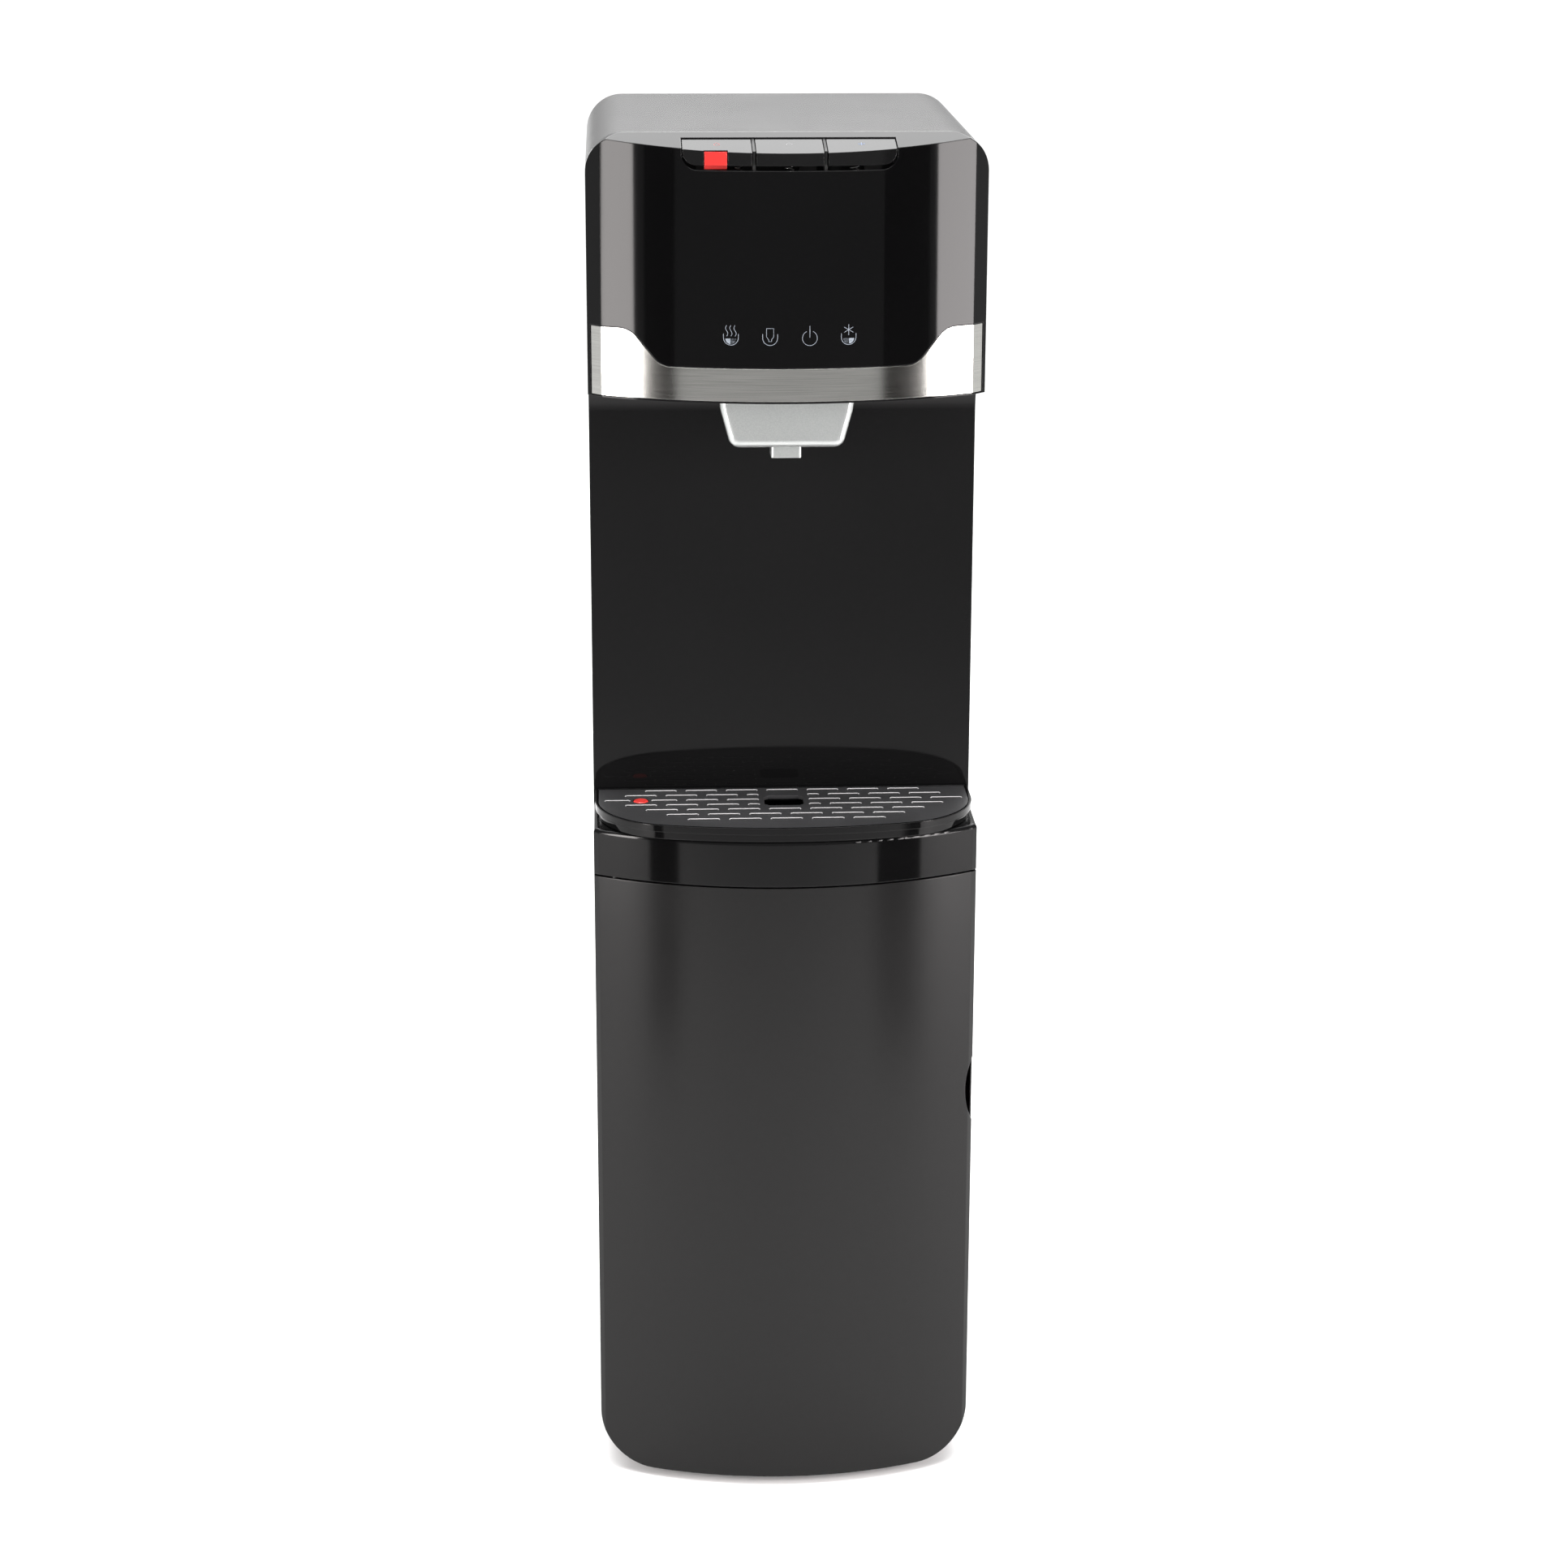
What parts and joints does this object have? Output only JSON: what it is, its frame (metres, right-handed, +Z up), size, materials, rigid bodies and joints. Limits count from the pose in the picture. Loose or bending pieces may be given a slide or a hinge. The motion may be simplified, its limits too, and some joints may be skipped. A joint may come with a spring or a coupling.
{
  "type": "bottom-load water dispenser",
  "caption": "Floor-standing water dispenser with a bottle cabinet below, an alcove with drip tray and push buttons along the top edge of its bowed head.",
  "frame": {"origin": "on the floor, under the middle of the outer box", "axes": "+X to the right, +Y to the back, +Z up; the front faces -Y"},
  "size_m": [0.3, 0.35, 1.085],
  "materials": {
    "gloss_black": "gloss black moulded ABS",
    "satin_black": "satin-gloss charcoal moulded ABS",
    "grille_grey": "satin dark grey moulded plastic",
    "button_black": "gloss black moulded ABS",
    "lock_red": "gloss red moulded plastic",
    "float_red": "red moulded plastic",
    "steel_trim": "brushed stainless steel, grain across",
    "silver_plastic": "satin silver painted plastic",
    "side_steel": "black powder-coated sheet steel",
    "rear_steel": "grey zinc-coated sheet steel",
    "shelf_steel": "zinc-coated sheet steel",
    "hinge_steel": "zinc-plated pressed steel",
    "screw_steel": "zinc-plated screws",
    "pan_plastic": "black moulded polypropylene",
    "liner_plastic": "dark grey moulded polypropylene",
    "carrier_plastic": "black moulded ABS",
    "rubber_black": "black rubber",
    "compressor_black": "black enamel",
    "condenser_black": "black enamel",
    "copper": "drawn copper",
    "tank_steel": "stainless steel",
    "foam": "white expanded polystyrene",
    "felt": "grey insulating felt",
    "circuit": "green glass-fibre circuit board",
    "valve_white": "white moulded plastic",
    "silicone": "translucent silicone",
    "probe_white": "white food-grade polypropylene",
    "magnet": "ferrite magnet",
    "spring_steel": "spring steel",
    "rocker_red": "red rocker",
    "rocker_green": "green rocker",
    "switch_black": "black nylon",
    "supply_case": "zinc-plated case"
  },
  "bodies": {
    "cabinet": {"base_pan": "pan_plastic", "bottle_platform": "pan_plastic", "levelling_feet": "rubber_black", "side_panel_left": "side_steel", "side_panel_right": "side_steel", "back_panel": "rear_steel", "back_panel_screws": "screw_steel", "condenser": "condenser_black", "lower_housing": "gloss_black", "catch_plate": "hinge_steel", "lower_hinge": "hinge_steel", "upper_hinge": "hinge_steel", "front_fascia": "gloss_black", "trim_band": "steel_trim", "top_cover": "gloss_black", "button_carrier": "carrier_plastic", "hot_button_spring": "spring_steel", "room_button_spring": "spring_steel", "cold_button_spring": "spring_steel", "microswitches": "switch_black", "indicator_board": "circuit", "alcove_liner": "gloss_black", "nozzle_housing": "silver_plastic", "spout": "silver_plastic", "mid_shelf": "shelf_steel", "compressor": "compressor_black", "compressor_grommets": "rubber_black", "filter_drier": "copper", "tank_shelf": "shelf_steel", "cold_tank": "tank_steel", "evaporator_coil": "copper", "tank_insulation": "foam", "hot_tank": "tank_steel", "hot_tank_jacket": "felt", "thermostats": "switch_black", "water_pump": "valve_white", "probe_cap": "probe_white", "suction_probe": "probe_white", "probe_hanger": "pan_plastic", "suction_hose": "silicone", "solenoid_valves": "valve_white", "outlet_tubes": "silicone", "control_board": "circuit", "power_supply": "supply_case", "cord_gland": "rubber_black", "drain_fitting": "valve_white", "rocker_housings": "switch_black"},
    "door": {"door_skin": "satin_black", "door_liner": "liner_plastic", "door_magnet": "magnet"},
    "tray": {"drip_tray": "gloss_black"},
    "grille": {"drip_grille": "grille_grey"},
    "float": {"overflow_float": "float_red"},
    "hot_button": {"hot_button": "button_black"},
    "room_button": {"room_button": "button_black"},
    "cold_button": {"cold_button": "button_black"},
    "child_lock": {"child_lock": "lock_red"},
    "hot_rocker": {"hot_rocker": "rocker_red"},
    "cold_rocker": {"cold_rocker": "rocker_green"},
    "drain_cap": {"drain_cap": "switch_black"}
  },
  "joints": [
    {"name": "door_hinge", "type": "hinge", "parent": "cabinet", "child": "door", "pos_m": [-0.134, -0.1345, 0.26], "axis": [0, 0, -1], "range_deg": [0, 105]},
    {"name": "tray_slide", "type": "slide", "parent": "cabinet", "child": "tray", "axis": [0, -1, 0], "range_m": [0, 0.13]},
    {"name": "grille_lift", "type": "slide", "parent": "tray", "child": "grille", "axis": [0, 0, 1], "range_m": [0, 0.04]},
    {"name": "float_rise", "type": "slide", "parent": "tray", "child": "float", "axis": [0, 0, 1], "range_m": [0, 0.005]},
    {"name": "hot_press", "type": "hinge", "parent": "cabinet", "child": "hot_button", "pos_m": [0, -0.143, 1.07], "axis": [1, 0, 0], "range_deg": [0, 5.5], "stiffness_Nm_per_rad": 0.6, "springref_deg": -3.44, "deforming": ["hot_button_spring"]},
    {"name": "room_press", "type": "hinge", "parent": "cabinet", "child": "room_button", "pos_m": [0, -0.143, 1.07], "axis": [1, 0, 0], "range_deg": [0, 5.5], "stiffness_Nm_per_rad": 0.6, "springref_deg": -3.44, "deforming": ["room_button_spring"]},
    {"name": "cold_press", "type": "hinge", "parent": "cabinet", "child": "cold_button", "pos_m": [0, -0.143, 1.07], "axis": [1, 0, 0], "range_deg": [0, 5.5], "stiffness_Nm_per_rad": 0.6, "springref_deg": -3.44, "deforming": ["cold_button_spring"]},
    {"name": "lock_push", "type": "slide", "parent": "hot_button", "child": "child_lock", "axis": [0, 1, 0], "range_m": [0, 0.003], "stiffness_N_per_m": 300, "springref_m": -0.002},
    {"name": "hot_switch_rock", "type": "hinge", "parent": "cabinet", "child": "hot_rocker", "pos_m": [-0.085, 0.1545, 0.98], "axis": [-1, 0, 0], "range_deg": [0, 14]},
    {"name": "cold_switch_rock", "type": "hinge", "parent": "cabinet", "child": "cold_rocker", "pos_m": [-0.115, 0.1545, 0.98], "axis": [-1, 0, 0], "range_deg": [0, 14]},
    {"name": "drain_cap_turn", "type": "hinge", "parent": "cabinet", "child": "drain_cap", "pos_m": [-0.1, 0.165, 0.6], "axis": [0, 1, 0], "continuous": true}
  ]
}
